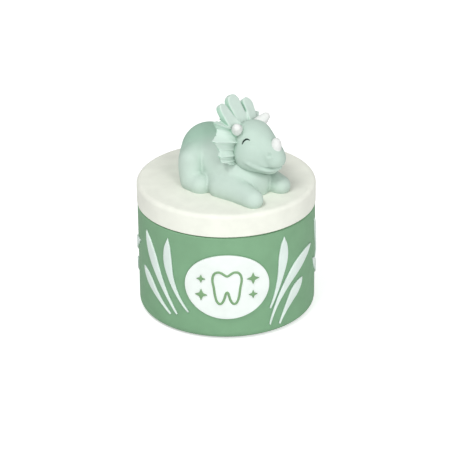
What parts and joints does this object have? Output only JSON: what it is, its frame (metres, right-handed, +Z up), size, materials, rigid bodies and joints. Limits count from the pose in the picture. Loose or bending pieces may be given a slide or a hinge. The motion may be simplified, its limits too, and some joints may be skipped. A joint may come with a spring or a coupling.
{
  "type": "keepsake box for milk teeth",
  "caption": "Round resin keepsake box for milk teeth with a lift-off lid and a lying baby horned dinosaur on top.",
  "frame": {"origin": "centre of the pad's underside, on the surface the box stands on", "axes": "+Z up along the pot's axis, -Y out of the pot's front through the oval label, +X to the right seen from the front"},
  "size_m": [0.0604, 0.061, 0.0758],
  "materials": {
    "pot": "matte cast resin, mid green",
    "pad": "soft black foam rubber",
    "lid": "matte cast resin, cream",
    "white": "matte white raised relief",
    "emblem": "matte green raised line",
    "mint": "matte cast resin, pale mint",
    "horn": "matte white paint over cast resin",
    "eye": "dark painted line"
  },
  "bodies": {
    "pot": {"pot": "pot", "base_pad": "pad", "oval_label": "white", "leaves_front_left": "white", "leaves_front_right": "white", "leaves_side_left": "white", "leaves_side_right": "white", "leaves_back": "white", "tooth_emblem": "emblem", "emblem_stars": "emblem"},
    "lid": {"lid": "lid", "torso": "mint", "head": "mint", "frill": "mint", "hind_leg_left": "mint", "hind_leg_right": "mint", "foreleg_left": "mint", "foreleg_right": "mint", "tail": "mint", "brow_horn_left": "horn", "brow_horn_right": "horn", "nose_horn": "horn", "eye_left": "eye", "eye_right": "eye"}
  },
  "joints": [
    {"name": "lid_lift", "type": "slide", "parent": "pot", "child": "lid", "axis": [0, 0, 1], "range_m": [0, 0.06]}
  ]
}
